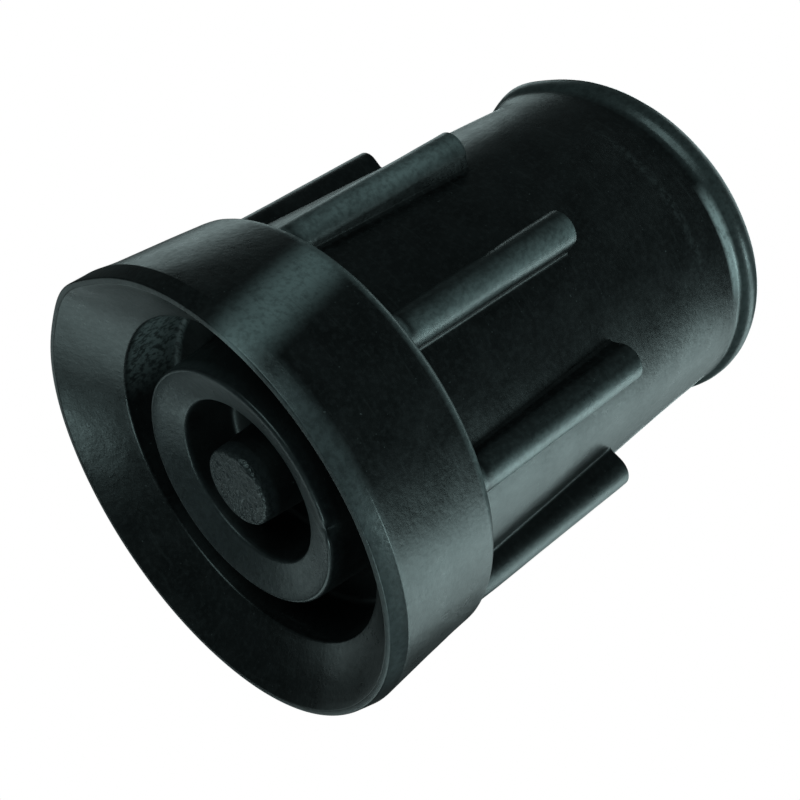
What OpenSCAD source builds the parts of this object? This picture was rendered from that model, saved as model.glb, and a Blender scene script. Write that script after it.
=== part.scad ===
// Rubber cane tip: one moulded piece, standing on its tread with the mouth up.
// Millimetres, +Z up, origin at the centre of the tread plane.

/* [Bore] */
// Diameter of the blind bore that grips the cane
bore_d = 18.8; // [16:0.1:20.5]
// Thickness of solid rubber between the floor of the tread grooves and the floor of the bore
web = 5.3; // [4:0.1:12]
// Height of the lead-in cone at the mouth of the bore
lead_in = 0.8; // [0.3:0.1:1.2]

/* [Sleeve] */
// Overall height, from the tread plane to the end of the mouth bead
height = 47.6; // [40:0.1:60]
// Diameter of the sleeve where it leaves the collar
sleeve_foot_d = 32.2; // [30:0.1:34]
// Diameter of the sleeve where it meets the hollow below the mouth bead
sleeve_mouth_d = 29.4; // [28.4:0.1:30.2]
// Largest diameter of the mouth bead
bead_d = 30.6; // [30.4:0.1:31.4]
// Radius of the rounded section of the mouth bead
bead_round = 1.4; // [1.3:0.1:1.8]
// Radius of the hollow between the sleeve and the mouth bead
bead_hollow = 0.8; // [0.4:0.1:4]

/* [Collar] */
// Largest diameter of the collar
collar_d = 38; // [37.6:0.1:42]
// Diameter of the collar at its back edge
collar_back_d = 36.6; // [36.4:0.1:37.6]
// Height of the collar above the tread plane
collar_height = 11.3; // [10:0.1:14]
// Radius on the back edge of the collar
back_round = 0.8; // [0.3:0.1:1.2]
// Radius of the blend between the shoulder and the sleeve
shoulder_blend = 0.4; // [0.2:0.1:0.6]

/* [Tread] */
// Diameter of the outer edge of the tread
rim_d = 37.3; // [36.4:0.1:37.8]
// Height of the bevelled band around the tread edge
rim_height = 1.4; // [0.8:0.1:2.5]
// Width of the flat land the tip stands on
land = 0.5; // [0.3:0.1:1]
// Depth of the dished face where it reaches the outer groove
dish_depth = 3.3; // [2.4:0.1:3.8]
// Bulge of the dished face from a straight cone
dish_bulge = 0.2; // [0.05:0.05:0.3]
// Outer diameter of the outer groove at its opening
groove_outer_d = 28; // [26:0.1:30]
// Outer diameter of the tread ring at its top
ring_outer_d = 20.2; // [18.5:0.1:22]
// Inner diameter of the tread ring at its top
ring_inner_d = 14; // [12.5:0.1:15.5]
// Recess of the outer edge of the tread ring behind the tread plane
ring_recess = 2.5; // [1:0.1:3]
// Further recess of the inner edge of the tread ring
ring_slope = 1; // [0.2:0.1:1.2]
// Diameter of the centre stud at its top
stud_d = 6.5; // [5:0.1:8]
// Recess of the top of the centre stud behind the tread plane
stud_recess = 2.6; // [1:0.1:3.5]
// Depth of both groove floors behind the tread plane
groove_depth = 8.2; // [6.5:0.1:8.6]
// Draft angle of the groove walls
groove_draft = 4; // [1:0.5:6]
// Radius in the bottom corners of the grooves
floor_round = 0.6; // [0.2:0.1:0.8]
// Radius on the edges of the ring, the stud and the outer groove
edge_round = 0.3; // [0.1:0.05:0.5]

/* [Ribs] */
// Number of ribs around the sleeve
rib_count = 9; // [5:1:12]
// Width of each rib
rib_width = 3.1; // [2.4:0.1:3.6]
// Diameter across the crests of the ribs
rib_crest_d = 36; // [35.2:0.1:36.4]
// Length of the ribs above the collar
rib_length = 19; // [12:0.5:26]

/* [Hidden] */
rubber = [0.09, 0.095, 0.095];
$fn = 96;

bore_floor = groove_depth + web;
bore_depth = height - lead_in - bore_floor;

// Centre of the bead's round, and from there to the centre of the hollow that runs into it
bead_x = bead_d / 2 - bead_round;
bead_z = height - bead_round;
hollow_dx = sleeve_mouth_d / 2 + bead_hollow - bead_x;
hollow_dz = sqrt(pow(bead_round + bead_hollow, 2) - pow(hollow_dx, 2));
hollow_lean = atan2(hollow_dz, hollow_dx);
sleeve_end = bead_z - hollow_dz;

// Radius of the tapered sleeve at a height
function sleeve_r(z) =
    let (share = (z - collar_height) / (sleeve_end - collar_height))
    (sleeve_foot_d + (sleeve_mouth_d - sleeve_foot_d) * share) / 2;

// Points of an arc of radius r about (x, z)
function arc(x, z, r, from, to, n = 8) =
    [for (i = [0:n]) [x + r * cos(from + (to - from) * i / n), z + r * sin(from + (to - from) * i / n)]];

// Points from a to b along a shallow bow that rises s from the straight line
function bow(a, b, s, n = 8) =
    let (d = b - a, side = [d[1], -d[0]] / norm(d))
    [for (i = [0:n]) a + d * i / n + side * s * (1 - pow(2 * i / n - 1, 2))];

// Half section of the tread: stud, inner groove, ring, outer groove, dish
function tread_section() =
    let (
        stud_r = stud_d / 2,
        in_r = ring_inner_d / 2,
        out_r = ring_outer_d / 2,
        wall_r = groove_outer_d / 2,
        in_z = ring_recess + ring_slope,
        e = edge_round,
        f = floor_round,
        low = groove_depth - f,
        t = tan(groove_draft),
        a = groove_draft,
        lean = atan2(ring_slope, out_r - in_r)
    )
    concat(
        [[0, stud_recess]],
        arc(stud_r - e, stud_recess + e, e, -90, -a, 4),
        arc(stud_r + t * (low - stud_recess) + f, low, f, 180 - a, 90, 4),
        arc(in_r - t * (low - in_z) - f, low, f, 90, a, 4),
        arc(in_r + e, in_z + e, e, 180 + a, 270 - lean, 4),
        arc(out_r - e, ring_recess + e, e, -90 - lean, -a, 4),
        arc(out_r + t * (low - ring_recess) + f, low, f, 180 - a, 90, 4),
        arc(wall_r - t * (low - dish_depth) - f, low, f, 90, a, 4),
        bow([wall_r, dish_depth], [rim_d / 2 - land, 0], dish_bulge),
        [[rim_d / 2, 0]]
    );

// Half section of the collar, the sleeve and the mouth bead
function wall_section() =
    let (
        back_r = collar_back_d / 2,
        foot_r = sleeve_r(collar_height),
        step = (90 + hollow_lean) / 12
    )
    concat(
        [[collar_d / 2, rim_height]],
        arc(back_r - back_round, collar_height - back_round, back_round, 0, 90),
        arc(foot_r + shoulder_blend, collar_height + shoulder_blend, shoulder_blend, 270, 180, 5),
        arc(bead_x + hollow_dx, sleeve_end, bead_hollow, 180, 180 - hollow_lean),
        arc(bead_x, bead_z, bead_round, step - hollow_lean, 90, 11),
        [[0, height]]
    );

module body() {
    rotate_extrude()
        polygon(concat(tread_section(), wall_section()));
}

module bore() {
    translate([0, 0, bore_floor])
        cylinder(d = bore_d, h = bore_depth + lead_in + 1);
    translate([0, 0, height - lead_in])
        cylinder(d1 = bore_d, d2 = bore_d + 4 * lead_in, h = 2 * lead_in);
}

// One rib: a half-round bar with straight flanks and a rounded upper end
module rib() {
    centre_r = (rib_crest_d - rib_width) / 2;
    foot_z = collar_height - 2;
    end_z = collar_height + rib_length - rib_width / 2;
    root_r = sleeve_r(end_z) - 1;
    translate([centre_r, 0, foot_z])
        cylinder(d = rib_width, h = end_z - foot_z);
    translate([centre_r, 0, end_z])
        sphere(d = rib_width);
    translate([root_r, -rib_width / 2, foot_z])
        cube([centre_r - root_r, rib_width, end_z - foot_z]);
    translate([root_r, 0, end_z])
        rotate([0, 90, 0])
            cylinder(d = rib_width, h = centre_r - root_r);
}

module tip() {
    color(rubber)
        difference() {
            union() {
                body();
                for (i = [0:rib_count - 1])
                    rotate([0, 0, 360 * i / rib_count])
                        rib();
            }
            bore();
        }
}

tip();
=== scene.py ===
import math

import bpy
from mathutils import Matrix, Vector, noise


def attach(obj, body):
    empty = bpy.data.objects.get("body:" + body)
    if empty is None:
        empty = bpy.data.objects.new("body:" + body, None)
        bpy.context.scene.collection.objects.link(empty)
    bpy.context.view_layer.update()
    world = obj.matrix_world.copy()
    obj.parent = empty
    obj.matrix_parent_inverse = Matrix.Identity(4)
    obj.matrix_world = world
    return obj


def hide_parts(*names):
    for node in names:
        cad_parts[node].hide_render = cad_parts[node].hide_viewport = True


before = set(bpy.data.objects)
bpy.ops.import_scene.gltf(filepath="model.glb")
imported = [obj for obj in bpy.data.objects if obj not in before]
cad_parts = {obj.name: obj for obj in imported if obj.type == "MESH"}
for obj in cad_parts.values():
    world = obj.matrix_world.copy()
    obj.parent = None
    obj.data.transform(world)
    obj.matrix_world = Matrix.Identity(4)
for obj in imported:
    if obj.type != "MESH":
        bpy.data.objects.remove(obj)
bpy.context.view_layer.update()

MM = 0.001

# Main sizes in mm, the same as those of the solid
HEIGHT = 47.6
BORE_R = 9.4
BORE_FLOOR = 13.5
LEAD_IN = 0.8
SLEEVE_FOOT_R = 16.1
SLEEVE_MOUTH_R = 14.7
BEAD_R = 15.3
BEAD_ROUND = 1.4
BEAD_HOLLOW = 0.8
COLLAR_R = 19.0
COLLAR_BACK_R = 18.3
COLLAR_HEIGHT = 11.3
RIM_R = 18.65
RIM_HEIGHT = 1.4
LAND = 0.5
DISH_DEPTH = 3.3
DISH_BULGE = 0.2
GROOVE_R = 14.0
RING_OUTER_R = 10.1
RING_INNER_R = 7.0
RING_RECESS = 2.5
RING_SLOPE = 1.0
STUD_R = 3.25
STUD_RECESS = 2.6
GROOVE_DEPTH = 8.2
DRAFT = math.tan(math.radians(4.0))
FLOOR_ROUND = 0.6
EDGE_ROUND = 0.3
BACK_ROUND = 0.8
SHOULDER_BLEND = 0.4

RIB_COUNT = 9
RIB_HALF = 1.55
RIB_CREST_R = 18.0
RIB_CENTRE_R = RIB_CREST_R - RIB_HALF
RIB_END = COLLAR_HEIGHT + 19.0 - RIB_HALF
RIB_FOOT = COLLAR_HEIGHT - 2.0
RIB_FILLET = 0.3
RIB_ROOT_R = 13.2

# Steps round the bore, and round and along a rib
SEGMENTS = 288
RIB_STEPS = 20

# The rib that the photo shows in outline: worn lower and set a little askew
LOW_RIB = 8
LOW_RIB_SHARE = 0.83
LOW_RIB_TURN = -5.0
LOW_RIB_LONGER = 1.1

# Other faults of this one piece: a depth in mm, or (depth in mm, angle, width in degrees).
# Angles are round the bore, with the photo's side at 90.
LIP_SPLAYS = ((0.35, -15, 25), (0.60, 0, 11), (0.35, -42, 28))
COLLAR_PRESS = (0.22, 182, 26)
MOUTH_OVAL = 0.4
MOUTH_SWELL = (0.12, 8, 26)
MOUTH_CORNER = (0.40, 5, 12)
# Waves and roughness of the skin, as (depth in mm, size in mm)
SLOW_WAVE = (0.035, 7)
QUICK_WAVE = (0.014, 2.2)
GROOVE_ROUGHNESS = (0.07, 0.9)
STUD_ROUGHNESS = (0.10, 0.8)
# A nick in the edge of the ring
NICK_ANGLE = 128
NICK_HEIGHT = 2.9
NICK_DEPTH = 0.35
NICK_WIDTH = 0.5

# The photo looks up at the tread, from below and from one side
CAM_RIGHT = Vector((-0.56361, 0.44038, 0.69886))
CAM_UP = Vector((0.82604, 0.30047, 0.47684))
CAM_BACK = Vector((0.0, 0.84604, -0.53312))
CAM_PLACE = Vector((-0.00139, 0.10740, -0.04880))
CAM_TURN = math.radians(-41.7)
CAM_LENS = 71.43
MIDDLE = Vector((0.0, 0.0, 0.022))

# Soft square lamps: name, angle off the line from the middle to the camera, angle round that
# line from the photo's right to its top, power in watts, side in metres
LAMPS = (
    ("lamp_right", 85, 335, 0.22, 0.17),
    ("lamp_right_back", 104, 332, 0.26, 0.17),
    ("lamp_right_rim", 122, 328, 0.15, 0.17),
    ("lamp_right_far", 143, 332, 0.06, 0.17),
    ("lamp_bead", 66, 342, 0.40, 0.10),
    ("lamp_front_fill", 30, 120, 0.45, 0.25),
    ("lamp_low_left", 68, 256, 0.34, 0.16),
    ("lamp_low_back", 111, 240, 0.16, 0.20),
    ("lamp_left", 118, 195, 0.05, 0.17),
    ("lamp_top_back", 140, 108, 0.09, 0.17),
    ("lamp_above", 122, 34, 0.30, 0.30),
    ("lamp_back_level", 150, 215, 0.15, 0.25),
    ("lamp_back_high", 164, 34, 0.60, 0.25),
)
LAMP_DISTANCE = 0.45
LAMP_COLOUR = (0.79, 1.0, 1.0)
WORLD_FILL = 0.05

# The floor glows a little, and fades to the white of the background with the distance
FLOOR_SIZE = 3.0
FLOOR_GREY = 0.45
FLOOR_GLOW = 0.55
FADE_START = 0.08
FADE_END = 0.6
CONTACT_SHADOW = 0.03

# Colours of the rubber and of what is rubbed pale on it; the crest, collar streak, back edge, groove wall,
# bead mark and rim colours are painted highlights and painted light, the crest's with dust bloom
DEEP_BLACK = (0.0024, 0.0027, 0.0028)
SOFT_BLACK = (0.0070, 0.0083, 0.0085)
PALE_DOT = (0.0173, 0.0205, 0.0210)
CREST_DUST_AND_LIGHT = (0.1944, 0.250, 0.250)
BEAD_BLOOM = (0.0540, 0.070, 0.070)
COLLAR_PAINTED_HIGHLIGHT = (0.2160, 0.280, 0.280)
BACK_EDGE_HIGHLIGHT = (0.1188, 0.150, 0.150)
GROOVE_WALL_PAINTED_LIGHT = (0.2160, 0.270, 0.270)
BEAD_PAINTED_HIGHLIGHT = (0.4320, 0.520, 0.520)
LINE_RUB = (0.0540, 0.066, 0.066)
RING_RUB = (0.0324, 0.040, 0.042)
RIM_PAINTED_LIGHT = (0.0756, 0.096, 0.098)
LONG_SCUFF = (0.0302, 0.036, 0.036)
SPECK = (0.1080, 0.13, 0.13)
SHEEN_TINT = (0.86, 1.0, 1.0, 1.0)


def make_camera():
    """The photo's camera, fitted to the tip's outline and to the circles of the tread."""
    lens = bpy.data.cameras.new("photo_camera")
    lens.sensor_width = 36.0
    lens.lens = CAM_LENS
    lens.clip_start = 0.001
    lens.clip_end = 20.0
    cam = bpy.data.objects.new("photo_camera", lens)
    bpy.context.scene.collection.objects.link(cam)
    axes = Matrix((CAM_RIGHT, CAM_UP, CAM_BACK)).transposed().to_4x4()
    cam.matrix_world = Matrix.Rotation(CAM_TURN, 4, "Z") @ Matrix.Translation(CAM_PLACE) @ axes
    bpy.context.scene.camera = cam
    return cam


# Outlines, as lists of (radius, height) in mm
def arc(x, z, r, start, end, steps):
    """Points of an arc of radius r about (x, z), from one angle in degrees to another."""
    turns = [math.radians(start + (end - start) * i / steps) for i in range(steps + 1)]
    return [(x + r * math.cos(t), z + r * math.sin(t)) for t in turns]


def rounded(corners, steps=5):
    """The line through the corners (x, z, radius), each rounded by its radius."""
    points = [corners[0][:2]]
    for before, here, after in zip(corners, corners[1:], corners[2:]):
        corner, radius = Vector(here[:2]), here[2]
        if radius == 0:
            points.append(tuple(corner))
            continue
        to_a = (Vector(before[:2]) - corner).normalized()
        to_b = (Vector(after[:2]) - corner).normalized()
        half = to_a.angle(to_b) / 2
        centre = corner + (to_a + to_b).normalized() * radius / math.sin(half)
        first = (corner + to_a * radius / math.tan(half) - centre).normalized()
        last = (corner + to_b * radius / math.tan(half) - centre).normalized()
        points += [tuple(centre + radius * first.slerp(last, i / steps)) for i in range(steps + 1)]
    points.append(corners[-1][:2])
    return points


def stepped(points, longest):
    """The same line with its long stretches cut into steps."""
    out = [points[0]]
    for (x0, z0), (x1, z1) in zip(points, points[1:]):
        parts = max(1, math.ceil(math.dist((x0, z0), (x1, z1)) / longest))
        out += [(x0 + (x1 - x0) * i / parts, z0 + (z1 - z0) * i / parts) for i in range(1, parts + 1)]
    return out


def tread_outline():
    """From the middle of the stud, over the ring and the dish, to the collar's back edge."""
    ring_z = RING_RECESS + RING_SLOPE
    edge, bend = EDGE_ROUND, FLOOR_ROUND
    corners = [
        (0.0, STUD_RECESS, 0.0),
        (STUD_R, STUD_RECESS, edge),
        (STUD_R + DRAFT * (GROOVE_DEPTH - STUD_RECESS), GROOVE_DEPTH, bend),
        (RING_INNER_R - DRAFT * (GROOVE_DEPTH - ring_z), GROOVE_DEPTH, bend),
        (RING_INNER_R, ring_z, edge),
        (RING_OUTER_R, RING_RECESS, edge),
        (RING_OUTER_R + DRAFT * (GROOVE_DEPTH - RING_RECESS), GROOVE_DEPTH, bend),
        (GROOVE_R - DRAFT * (GROOVE_DEPTH - DISH_DEPTH), GROOVE_DEPTH, bend),
        (GROOVE_R, DISH_DEPTH, edge),
    ]
    inner, outer = Vector((GROOVE_R, DISH_DEPTH)), Vector((RIM_R - LAND, 0.0))
    bow = 8
    hollow_side = Vector((outer.y - inner.y, inner.x - outer.x)).normalized()
    for i in range(1, bow):
        p = inner.lerp(outer, i / bow) - hollow_side * DISH_BULGE * (1 - (2 * i / bow - 1) ** 2)
        corners.append((p.x, p.y, 0.0))
    corners += [(outer.x, outer.y, 0.12), (RIM_R, 0.0, 0.15), (COLLAR_R, RIM_HEIGHT, 0.35)]
    corners += [(COLLAR_BACK_R, COLLAR_HEIGHT - BACK_ROUND, 0.0)]
    return rounded(corners)


def hollow_start():
    """Height at which the straight sleeve ends and the hollow below the bead starts."""
    across = SLEEVE_MOUTH_R + BEAD_HOLLOW - (BEAD_R - BEAD_ROUND)
    return HEIGHT - BEAD_ROUND - math.sqrt((BEAD_ROUND + BEAD_HOLLOW) ** 2 - across ** 2)


def sleeve_r(z):
    """Radius of the tapered sleeve at a height."""
    share = (z - COLLAR_HEIGHT) / (hollow_start() - COLLAR_HEIGHT)
    return SLEEVE_FOOT_R + (SLEEVE_MOUTH_R - SLEEVE_FOOT_R) * share


def wall_outline():
    """From the collar's back edge up the sleeve and over the bead to the bore's floor."""
    bead_x, bead_z = BEAD_R - BEAD_ROUND, HEIGHT - BEAD_ROUND
    hollow_x, hollow_z = SLEEVE_MOUTH_R + BEAD_HOLLOW, hollow_start()
    lean = math.degrees(math.atan2(bead_z - hollow_z, hollow_x - bead_x))
    shell = arc(COLLAR_BACK_R - BACK_ROUND, COLLAR_HEIGHT - BACK_ROUND, BACK_ROUND, 0, 90, 6)
    shell += arc(SLEEVE_FOOT_R + SHOULDER_BLEND, COLLAR_HEIGHT + SHOULDER_BLEND, SHOULDER_BLEND, 270, 180, 4)
    shell += arc(hollow_x, hollow_z, BEAD_HOLLOW, 180, 180 - lean, 7)
    shell += arc(bead_x, bead_z, BEAD_ROUND, -lean, 90, 14)
    inside = rounded([
        (bead_x - 0.3, HEIGHT, 0.0),
        (BORE_R + 2 * LEAD_IN, HEIGHT, 0.3),
        (BORE_R, HEIGHT - LEAD_IN, 0.2),
        (BORE_R, BORE_FLOOR, 0.4),
        (0.0, BORE_FLOOR, 0.0),
    ])
    return stepped(shell, 0.8) + stepped(inside, 3.0)


# Modelling steps
def select_only(pieces):
    """Selects these pieces and makes the first one active."""
    bpy.ops.object.select_all(action="DESELECT")
    for piece in pieces:
        piece.select_set(True)
    bpy.context.view_layer.objects.active = pieces[0]


def edit(piece):
    """Opens a piece in edit mode with nothing selected."""
    select_only([piece])
    bpy.ops.object.mode_set(mode="EDIT")
    bpy.ops.mesh.select_all(action="DESELECT")


def object_mode():
    bpy.ops.object.mode_set(mode="OBJECT")


def select_edges(piece, wanted):
    """In edit mode, selects the edges whose two ends both satisfy wanted(place in mm)."""
    object_mode()
    mesh = piece.data
    chosen = [wanted(v.co / MM) for v in mesh.vertices]
    for f in mesh.polygons:
        f.select = False
    for v in mesh.vertices:
        v.select = False
    for e in mesh.edges:
        e.select = all(chosen[i] for i in e.vertices)
        for i in e.vertices:
            mesh.vertices[i].select = mesh.vertices[i].select or e.select
    bpy.ops.object.mode_set(mode="EDIT")


def line_piece(name, points):
    """One point drawn out into a line through points given as (x, y, z) in mm."""
    bpy.ops.object.select_all(action="DESELECT")
    bpy.ops.mesh.primitive_plane_add(size=MM, location=(0, 0, 0))
    piece = bpy.context.object
    piece.name = piece.data.name = name
    bpy.ops.object.mode_set(mode="EDIT")
    bpy.ops.mesh.select_all(action="SELECT")
    bpy.ops.mesh.merge(type="CENTER")
    bpy.ops.transform.translate(value=Vector(points[0]) * MM)
    for a, b in zip(points, points[1:]):
        step = (Vector(b) - Vector(a)) * MM
        bpy.ops.mesh.extrude_region_move(TRANSFORM_OT_translate={"value": step})
    object_mode()
    return piece


def spin_closed(piece, steps, angle, centre, axis):
    """Turns the piece's line into a skin and joins its seam and poles."""
    edit(piece)
    bpy.ops.mesh.select_all(action="SELECT")
    bpy.ops.mesh.spin(steps=steps, angle=angle, center=centre, axis=axis)
    bpy.ops.mesh.select_all(action="SELECT")
    bpy.ops.mesh.remove_doubles(threshold=2e-6)
    object_mode()


def make_body():
    """The round body: its outline turned once round the bore's axis."""
    outline = [(0.0, STUD_RECESS)]
    for p in stepped(tread_outline(), 0.7) + wall_outline():
        if math.dist(p, outline[-1]) > 0.01:
            outline.append(p)
    body = line_piece("cane_tip", [(r, 0.0, z) for r, z in outline])
    spin_closed(body, SEGMENTS, 2 * math.pi, (0, 0, 0), (0, 0, 1))
    edit(body)
    bpy.ops.mesh.select_all(action="SELECT")
    bpy.ops.mesh.normals_make_consistent(inside=False)
    object_mode()
    return body


def rib_outline():
    """Half of a rib's section, (outwards, across): crest, flank, root fillet, inner skirt."""
    surface = sleeve_r(RIB_END)
    side = RIB_HALF + RIB_FILLET
    skirt = side + 0.12
    outline = arc(RIB_CENTRE_R, 0.0, RIB_HALF, 0, 90, 10)
    outline += arc(surface + RIB_FILLET, side, RIB_FILLET, -90, -165, 5)
    outline += [(surface - 0.06, skirt), (surface - 0.7, skirt), (RIB_ROOT_R, skirt)]
    return outline


def seat_on_sleeve(rib):
    """Lets the rib's flanks and fillet follow the round, tapering sleeve."""
    flat = sleeve_r(RIB_END)
    for v in rib.data.vertices:
        x, y, z = v.co / MM
        if x < RIB_ROOT_R + 1:
            continue
        share = min(1.0, max(0.0, (RIB_CENTRE_R - x) / (RIB_CENTRE_R - flat - RIB_FILLET)))
        v.co.x += share * (math.sqrt(sleeve_r(z) ** 2 - y ** 2) - flat) * MM


def make_rib():
    """One rib on the +X side, with a round end."""
    rib = line_piece("rib", [(x, y, RIB_END) for x, y in rib_outline()])
    spin_closed(rib, RIB_STEPS, math.pi, (0, 0, RIB_END * MM), (1, 0, 0))
    edit(rib)
    select_edges(rib, lambda p: abs(p.z - RIB_END) < 0.001)
    drop = (RIB_FOOT - RIB_END) / RIB_STEPS * MM
    for _ in range(RIB_STEPS):
        bpy.ops.mesh.extrude_edges_move(TRANSFORM_OT_translate={"value": (0, 0, drop)})
    select_edges(rib, lambda p: abs(p.z - RIB_FOOT) < 0.001)
    bpy.ops.mesh.edge_face_add()
    select_edges(rib, lambda p: abs(p.x - RIB_ROOT_R) < 0.001)
    bpy.ops.mesh.edge_face_add()
    bpy.ops.mesh.select_all(action="SELECT")
    bpy.ops.mesh.normals_make_consistent(inside=False)
    object_mode()
    seat_on_sleeve(rib)
    return rib


def wear_rib(rib, share, longer):
    """Brings down what stands above the rib's root fillet to a share of its height, and draws its end out."""
    for v in rib.data.vertices:
        x, y, z = v.co / MM
        root = math.sqrt(max(0.0, sleeve_r(z) ** 2 - y ** 2)) + RIB_FILLET
        if x > root:
            v.co.x = (root + (x - root) * share) * MM
        v.co.z += longer * smooth(z, 20.0, RIB_END) * MM


def add_ribs(body):
    """Copies the rib round the sleeve and joins all of them to the body."""
    ribs = [make_rib()]
    for i in range(1, RIB_COUNT):
        select_only([ribs[0]])
        bpy.ops.object.duplicate()
        copy = bpy.context.object
        turn = 360 * i / RIB_COUNT
        if i == LOW_RIB:
            wear_rib(copy, LOW_RIB_SHARE, LOW_RIB_LONGER)
            turn += LOW_RIB_TURN
        # without a window this operator turns the other way
        bpy.ops.transform.rotate(value=-math.radians(turn), orient_axis="Z", center_override=(0, 0, 0))
        bpy.ops.object.transform_apply(location=True, rotation=True, scale=True)
        ribs.append(copy)
    select_only(ribs)
    bpy.ops.object.join()
    select_only([body])
    union = body.modifiers.new("ribs", "BOOLEAN")
    union.operation = "UNION"
    union.solver = "EXACT"
    union.object = ribs[0]
    bpy.ops.object.modifier_apply(modifier="ribs")
    select_only([ribs[0]])
    bpy.ops.object.delete()
    edit(body)
    bpy.ops.mesh.select_all(action="SELECT")
    bpy.ops.mesh.remove_doubles(threshold=4e-6)
    object_mode()


def smooth(value, low, high):
    """0 below low, 1 above high, and a soft S between."""
    t = min(1.0, max(0.0, (value - low) / (high - low)))
    return t * t * (3 - 2 * t)


def bell(value, middle, width):
    """1 at the middle, falling away to 0 over about twice the width."""
    return math.exp(-((value - middle) / width) ** 2)


def round_the_bore(angle, radius, height):
    """The place at an angle in degrees, where the photo's side is at 90."""
    turn = math.radians(angle) + CAM_TURN
    return Vector((radius * math.cos(turn), radius * math.sin(turn), height))


def fault(angle, kind):
    """How deep a fault (depth, angle, width) is at an angle."""
    depth, middle, width = kind
    return depth * bell(angle, middle, width)


def ripple(place, kind):
    """Noise of a (depth, size) at a place."""
    depth, size = kind
    return depth * noise.noise(place / size)


def bend_outwards(r, z, angle):
    """How far the lip of the tread, the collar and the mouth stand out, in mm."""
    at_collar = smooth(r, COLLAR_R - 4.0, COLLAR_R - 1.0)
    splay = sum(fault(angle, kind) for kind in LIP_SPLAYS) * at_collar * (1 - smooth(z, -1.0, 3.0))
    above = smooth(z, COLLAR_HEIGHT - 3.3, COLLAR_HEIGHT + 2.7)
    press = fault(angle % 360, COLLAR_PRESS) * at_collar * (1 - above)
    oval = MOUTH_OVAL * math.sin(math.radians(2 * angle)) * smooth(z, HEIGHT - 13.6, HEIGHT - 2.6)
    swell = fault(angle, MOUTH_SWELL) * smooth(z, HEIGHT - 17.6, HEIGHT - 7.6)
    corner = fault(angle, MOUTH_CORNER) * smooth(z, HEIGHT - 3.8, HEIGHT - 2.4)
    outside = smooth(r, BORE_R + 2 * LEAD_IN + 0.2, BEAD_R - 2.0)
    return splay - press + outside * (swell + corner - oval)


def rise_of_skin(place, r, angle):
    """How far the skin stands up at a place: slow waves, rough grooves and stud, and the nick."""
    z = place.z
    if r < BORE_R + 2 and z > BORE_FLOOR - 1:
        return 0.0
    rise = ripple(place, SLOW_WAVE) + ripple(place, QUICK_WAVE)
    in_groove = smooth(z, DISH_DEPTH + 0.1, DISH_DEPTH + 0.7)
    in_groove *= 1 - smooth(z, GROOVE_DEPTH + 0.1, GROOVE_DEPTH + 0.8)
    in_groove *= 1 - smooth(r, GROOVE_R + 0.2, GROOVE_R + 1.0)
    on_stud = 1 - smooth(r, STUD_R - 0.65, STUD_R - 0.05)
    on_stud *= 1 - smooth(z, STUD_RECESS + 0.4, STUD_RECESS + 1.4)
    rise += in_groove * ripple(place, GROOVE_ROUGHNESS) * (0.4 + bell(angle, 5, 35))
    rise += on_stud * ripple(place, STUD_ROUGHNESS)
    if r > RIM_R - 1.65:
        # the narrow land and its corners stay smooth
        rise *= smooth(z, 0.1, 0.8)
    nick = round_the_bore(NICK_ANGLE, RING_OUTER_R, NICK_HEIGHT)
    return rise - NICK_DEPTH * bell((place - nick).length, 0, NICK_WIDTH)


def make_uneven(tip):
    """The small faults of a moulded and used piece. What stands on the floor stays on it."""
    normals = [v.normal.copy() for v in tip.data.vertices]
    for v, normal in zip(tip.data.vertices, normals):
        place = v.co / MM
        r = math.hypot(place.x, place.y)
        angle = (math.degrees(math.atan2(place.y, place.x) - CAM_TURN) + 180) % 360 - 180
        out = Vector((place.x, place.y, 0)).normalized() if r > 0.01 else Vector()
        move = out * bend_outwards(r, place.z, angle) + normal * rise_of_skin(place, r, angle)
        v.co += move * MM
        v.co.z = max(0.0, v.co.z) if place.z > 0.03 else v.co.z - move.z * MM


def make_tip():
    """The whole tip, one closed mesh."""
    body = make_body()
    add_ribs(body)
    make_uneven(body)
    select_only([body])
    bpy.ops.object.shade_smooth_by_angle(angle=math.radians(35))
    return body


# Materials
def add_node(tree, kind, inputs=None, **settings):
    """A new shader node with its settings and inputs, each a value or another node's socket."""
    node = tree.nodes.new("ShaderNode" + kind)
    for name, value in settings.items():
        setattr(node, name, value)
    for name, value in (inputs or {}).items():
        if isinstance(value, bpy.types.NodeSocket):
            tree.links.new(value, node.inputs[name])
        else:
            node.inputs[name].default_value = value
    return node


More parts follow.
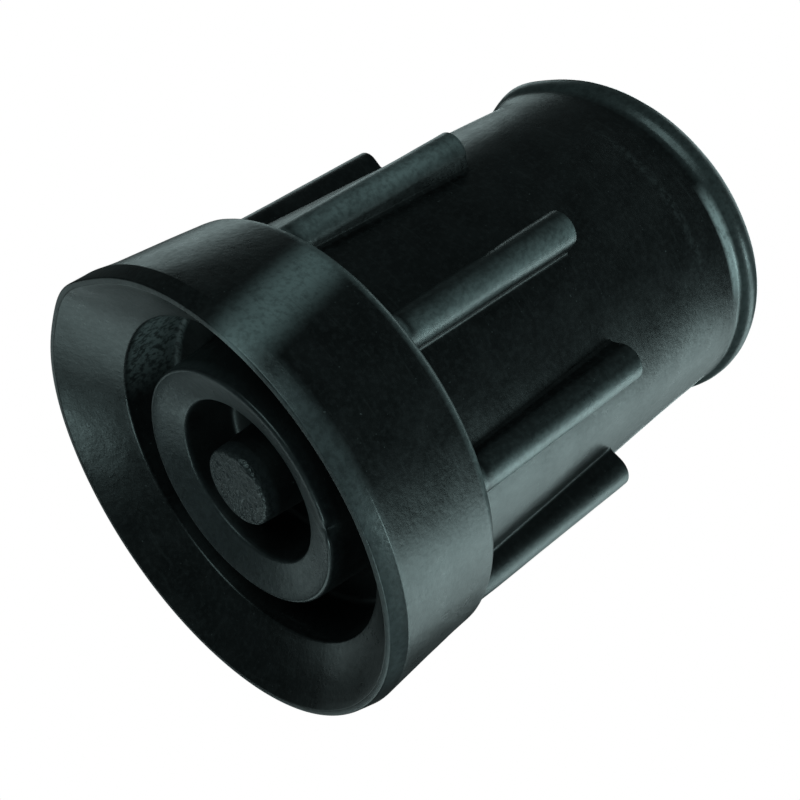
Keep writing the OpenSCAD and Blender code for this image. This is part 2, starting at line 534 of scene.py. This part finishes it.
def rubber_material():
    """Black moulded rubber: satin, slightly uneven, with a fine grain, pale specks, rubbed marks, and painted
    highlights and painted light on the rib crests, collar, groove wall, rim and bead.
    """
    rubber = bpy.data.materials.new("moulded_rubber")
    rubber.use_nodes = True
    tree = rubber.node_tree
    bsdf = tree.nodes["Principled BSDF"]
    bsdf.inputs["IOR"].default_value = 1.52
    bsdf.inputs["Specular Tint"].default_value = SHEEN_TINT
    place = add_node(tree, "TexCoord").outputs["Object"]

    def noise_map(scale, detail, stretch=(1, 1, 1)):
        stretched = add_node(tree, "Mapping", {"Scale": stretch, "Vector": place}).outputs["Vector"]
        inputs = {"Scale": scale, "Detail": detail, "Roughness": 0.6, "Vector": stretched}
        return add_node(tree, "TexNoise", inputs).outputs["Fac"]

    def ramp(value, low, high, out_low=0.0, out_high=1.0):
        """Straight from one output to the other as the value goes from low to high."""
        inputs = {"Value": value, "From Min": low, "From Max": high, "To Min": out_low, "To Max": out_high}
        return add_node(tree, "MapRange", inputs).outputs["Result"]

    def ramp_mm(value, low, high):
        return ramp(value, low * MM, high * MM)

    def soft(value, none, full):
        """0 at none, 1 at full and a soft S between."""
        inputs = {"Value": value, "From Min": none, "From Max": full}
        return add_node(tree, "MapRange", inputs, interpolation_type="SMOOTHSTEP").outputs["Result"]

    def maths(operation, *values):
        return add_node(tree, "Math", dict(enumerate(values)), operation=operation).outputs["Value"]

    def vector_maths(operation, *values):
        node = add_node(tree, "VectorMath", dict(enumerate(values)), operation=operation)
        return node.outputs["Value" if operation in ("LENGTH", "DOT_PRODUCT") else "Vector"]

    def all_of(first, *others):
        """The masks multiplied: 1 only where each of them is 1."""
        for other in others:
            first = maths("MULTIPLY", first, other)
        return first

    def all_but(mask):
        return ramp(mask, 0.0, 1.0, 1.0, 0.0)

    def band(value, rise_from, rise_to, fall_from, fall_to):
        """1 between rise_to and fall_from, 0 outside, in mm."""
        return all_of(ramp_mm(value, rise_from, rise_to), ramp_mm(value, fall_to, fall_from))

    def coat(share, under, over):
        """A colour laid over another by a share."""
        inputs = {"Factor": share, "A": under, "B": (*over, 1.0)}
        return add_node(tree, "Mix", inputs, data_type="RGBA").outputs["Result"]

    # where a point is: its distance from the bore's axis, its heading round it and its height
    level = vector_maths("MULTIPLY", place, (1.0, 1.0, 0.0))
    radius = vector_maths("LENGTH", level)
    heading = vector_maths("NORMALIZE", level)
    apart = add_node(tree, "SeparateXYZ", {"Vector": place}).outputs
    height_up = apart["Z"]

    def toward(angle, full, none):
        """1 within `full` degrees of an angle round the bore, 0 beyond `none` degrees."""
        near = vector_maths("DOT_PRODUCT", heading, tuple(round_the_bore(angle, 1.0, 0.0)))
        return soft(near, math.cos(math.radians(none)), math.cos(math.radians(full)))

    # patterns, by how many fit into a metre
    mottle = noise_map(330.0, 5.0)
    cloud = noise_map(120.0, 4.0)
    grain = noise_map(2600.0, 3.0)
    dots = noise_map(2300.0, 3.0)
    speck = noise_map(3900.0, 1.0)
    rubbed = noise_map(160.0, 4.0, (1.0, 1.0, 14.0))
    patchy = all_of(ramp(cloud, 0.3, 0.65, 0.6, 1.0), ramp(dots, 0.35, 0.6, 0.6, 1.0))

    # the ribs' crests are paler: dust bloom, with painted light on one flank of each rib, all but the rib in
    # outline
    from_rib = maths("ARCTAN2", apart["Y"], apart["X"])
    rib_turns = maths("MULTIPLY_ADD", from_rib, RIB_COUNT / (2 * math.pi), 0.5)
    lit_side = ramp(maths("FRACT", rib_turns), 0.44, 0.56, 0.12, 1.0)
    above_collar = ramp_mm(height_up, COLLAR_HEIGHT + 0.1, COLLAR_HEIGHT + 1.1)
    on_crest = all_of(ramp_mm(radius, RIB_CREST_R - 1.4, RIB_CREST_R - 0.4), above_collar)
    on_crest = all_of(on_crest, all_but(toward(-3, 14, 24)), lit_side)

    # a painted highlight: a light band, where a lamp's reflection falls, crosses the collar on a slant, from
    # low_end to high_end
    low_end = round_the_bore(65, COLLAR_R, 1.4)
    high_end = round_the_bore(58, COLLAR_R, 10.5)
    middle = Vector((0.0, 0.0, 5.9))
    across = (low_end - middle).cross(high_end - middle).normalized()
    from_middle = vector_maths("SUBTRACT", place, tuple(middle * MM))
    from_highlight_band = maths("ABSOLUTE", vector_maths("DOT_PRODUCT", from_middle, tuple(across)))
    highlight_band = soft(from_highlight_band, 3.0 * MM, 0.3 * MM)
    on_collar = ramp_mm(radius, COLLAR_BACK_R - 0.7, COLLAR_BACK_R - 0.1)
    on_collar = all_of(on_collar, ramp_mm(height_up, COLLAR_HEIGHT - 0.1, COLLAR_HEIGHT - 1.1))
    on_collar_highlight = all_of(on_collar, toward(62, 20, 34), highlight_band, ramp(cloud, 0.2, 0.6, 0.6, 1.0))
    on_collar_highlight = all_of(on_collar_highlight, ramp(dots, 0.3, 0.55, 0.6, 1.0))
    # a painted highlight along the collar's back edge, on one side only
    on_back_highlight = band(height_up, COLLAR_HEIGHT - 1.0, COLLAR_HEIGHT - 0.6, COLLAR_HEIGHT, COLLAR_HEIGHT + 0.3)
    on_back_highlight = all_of(on_back_highlight, ramp_mm(radius, COLLAR_BACK_R - 1.3, COLLAR_BACK_R - 0.9), toward(85, 30, 60))

    # tread
    ring_z = RING_RECESS + RING_SLOPE
    on_ring = ramp_mm(radius, RING_OUTER_R + 0.2, RING_OUTER_R - 0.1)
    on_ring = all_of(on_ring, ramp_mm(height_up, ring_z + 0.5, ring_z))
    # painted light: the rim's edge paler and patchy on one side only
    on_lit_rim = ramp_mm(height_up, RIM_HEIGHT + 0.5, RIM_HEIGHT - 0.5)
    on_lit_rim = all_of(on_lit_rim, ramp_mm(radius, RIM_R - 1.05, RIM_R - 0.25), toward(115, 30, 50))
    on_stud = ramp_mm(radius, STUD_R + 0.25, STUD_R - 0.15)
    on_stud = all_of(on_stud, ramp_mm(height_up, STUD_RECESS + 1.0, STUD_RECESS + 0.4))
    in_groove = band(height_up, DISH_DEPTH, DISH_DEPTH + 0.6, GROOVE_DEPTH + 0.6, GROOVE_DEPTH + 1.0)
    in_groove = all_of(in_groove, ramp_mm(radius, GROOVE_R + 0.6, GROOVE_R + 0.2))
    # painted light: one side of the groove's outer wall paler and dotted, as where a lamp lights it
    on_lit_groove_wall = all_of(in_groove, ramp_mm(radius, GROOVE_R - 1.1, GROOVE_R - 0.8), toward(5, 12, 48))
    on_lit_groove_wall = all_of(on_lit_groove_wall, ramp(dots, 0.4, 0.55, 0.2, 1.0))

    # mouth bead, a painted highlight streak beside it and a faint line round the sleeve
    on_bead = ramp_mm(height_up, HEIGHT - 3.2, HEIGHT - 2.4)
    on_bead = all_of(on_bead, ramp_mm(radius, BEAD_R - 1.7, BEAD_R - 0.9))
    bead_highlight = band(height_up, HEIGHT - 3.7, HEIGHT - 3.3, HEIGHT - 2.8, HEIGHT - 2.4)
    bead_highlight = all_of(bead_highlight, toward(113, 2, 22), ramp(dots, 0.3, 0.5, 0.5, 1.0))
    line_z = HEIGHT - 6.7
    line = band(height_up, line_z - 0.6, line_z, line_z, line_z + 0.6)
    line = all_of(line, toward(88, 10, 38), ramp(dots, 0.4, 0.6, 0.0, 0.5))

    # the coats, in order; the crest, collar streak, back edge, groove wall, bead mark and rim coats are
    # painted highlights and painted light
    coats = (
        (ramp(mottle, 0.35, 0.7), SOFT_BLACK),
        # pale dots everywhere but in the groove, which is left darker as painted shade
        (all_of(all_but(in_groove), ramp(dots, 0.48, 0.66, 0.0, 0.5)), PALE_DOT),
        (all_of(on_crest, patchy), CREST_DUST_AND_LIGHT),
        (all_of(on_bead, patchy), BEAD_BLOOM),
        (on_collar_highlight, COLLAR_PAINTED_HIGHLIGHT),
        (all_of(on_back_highlight, patchy), BACK_EDGE_HIGHLIGHT),
        (on_lit_groove_wall, GROOVE_WALL_PAINTED_LIGHT),
        (bead_highlight, BEAD_PAINTED_HIGHLIGHT),
        (line, LINE_RUB),
        (all_of(on_ring, patchy), RING_RUB),
        (all_of(on_lit_rim, patchy), RIM_PAINTED_LIGHT),
        (ramp(rubbed, 0.60, 0.70, 0.0, 0.30), LONG_SCUFF),
        (ramp(speck, 0.74, 0.82, 0.0, 0.5), SPECK),
    )
    colour = (*DEEP_BLACK, 1.0)
    for share, over in coats:
        colour = coat(share, colour, over)
    tree.links.new(colour, bsdf.inputs["Base Color"])

    rough = maths("ADD", ramp(mottle, 0.3, 0.7, 0.28, 0.36), ramp(grain, 0.35, 0.65, -0.03, 0.03))
    rough = maths("ADD", rough, ramp(in_groove, 0.0, 1.0, 0.0, 0.15))
    tree.links.new(rough, bsdf.inputs["Roughness"])

    # heights in mm
    relief = maths("ADD", ramp(grain, 0.0, 1.0, 0.0, 0.014), ramp(mottle, 0.0, 1.0, 0.0, 0.05))
    stud_relief = ramp(noise_map(1500.0, 3.0), 0.3, 0.7, 0.0, 0.12)
    relief = maths("ADD", relief, all_of(on_stud, stud_relief))
    bump = add_node(tree, "Bump", {"Strength": 1.0, "Distance": MM, "Height": relief})
    tree.links.new(bump.outputs["Normal"], bsdf.inputs["Normal"])
    return rubber


# Lamps, world and floor
def make_lamp(cam, name, tilt, turn, power, size):
    """A soft square lamp that faces the middle of the tip, placed in the camera's own directions."""
    t, k = math.radians(tilt), math.radians(turn)
    lamp = bpy.data.lights.new(name, "AREA")
    lamp.shape = "SQUARE"
    lamp.size = size
    lamp.energy = power
    lamp.color = LAMP_COLOUR
    stand = bpy.data.objects.new(name, lamp)
    bpy.context.scene.collection.objects.link(stand)
    direction = Vector((math.sin(t) * math.cos(k), math.sin(t) * math.sin(k), math.cos(t)))
    stand.location = MIDDLE + cam.matrix_world.to_3x3() @ (direction * LAMP_DISTANCE)
    stand.rotation_euler = (stand.location - MIDDLE).to_track_quat("Z", "Y").to_euler()
    stand.visible_camera = False


def make_world():
    """White behind the object as the camera sees it, and a dim even light on the object."""
    world = bpy.data.worlds.new("studio")
    bpy.context.scene.world = world
    world.use_nodes = True
    tree = world.node_tree
    tree.nodes.clear()
    seen = add_node(tree, "LightPath").outputs["Is Camera Ray"]
    dim = add_node(tree, "Background", {"Color": (*LAMP_COLOUR, 1.0), "Strength": WORLD_FILL})
    white = add_node(tree, "Background", {"Color": (1.0, 1.0, 1.0, 1.0), "Strength": 1.0})
    mix = add_node(tree, "MixShader", {0: seen, 1: dim.outputs[0], 2: white.outputs[0]})
    add_node(tree, "OutputWorld", {"Surface": mix.outputs[0]})


def make_floor():
    """A pale floor under the tread, for views from above: the photo looks up from below it."""
    bpy.ops.object.select_all(action="DESELECT")
    bpy.ops.mesh.primitive_plane_add(size=FLOOR_SIZE, location=(0, 0, 0))
    floor = bpy.context.object
    floor.name = floor.data.name = "floor"
    for ray in ("diffuse", "glossy", "transmission", "volume_scatter", "shadow"):
        setattr(floor, "visible_" + ray, False)
    pale = bpy.data.materials.new("pale_floor")
    pale.use_nodes = True
    tree = pale.node_tree
    tree.nodes.clear()
    matt = add_node(tree, "BsdfDiffuse", {"Color": (FLOOR_GREY, FLOOR_GREY, FLOOR_GREY, 1.0)})
    place = add_node(tree, "TexCoord").outputs["Object"]
    away = add_node(tree, "VectorMath", {0: place}, operation="LENGTH").outputs["Value"]
    inputs = {"Value": away, "From Min": FADE_START, "From Max": FADE_END, "To Min": FLOOR_GLOW}
    fade = add_node(tree, "MapRange", inputs).outputs["Result"]
    contact = add_node(tree, "AmbientOcclusion", {"Distance": CONTACT_SHADOW}).outputs["AO"]
    shaded = add_node(tree, "Math", {0: fade, 1: contact}, operation="MULTIPLY").outputs["Value"]
    glow = add_node(tree, "Emission", {"Strength": shaded})
    lit = add_node(tree, "AddShader", {0: matt.outputs[0], 1: glow.outputs[0]})
    below = add_node(tree, "NewGeometry").outputs["Backfacing"]
    clear = add_node(tree, "BsdfTransparent")
    mix = add_node(tree, "MixShader", {0: below, 1: lit.outputs[0], 2: clear.outputs[0]})
    add_node(tree, "OutputMaterial", {"Surface": mix.outputs[0]})
    floor.data.materials.append(pale)


cam = make_camera()
make_floor()
for lamp_row in LAMPS:
    make_lamp(cam, *lamp_row)
make_world()

tip = make_tip()
tip.data.materials.clear()
tip.data.materials.append(rubber_material())
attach(tip, "root")
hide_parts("tip")

bpy.context.scene.view_settings.view_transform = "Standard"
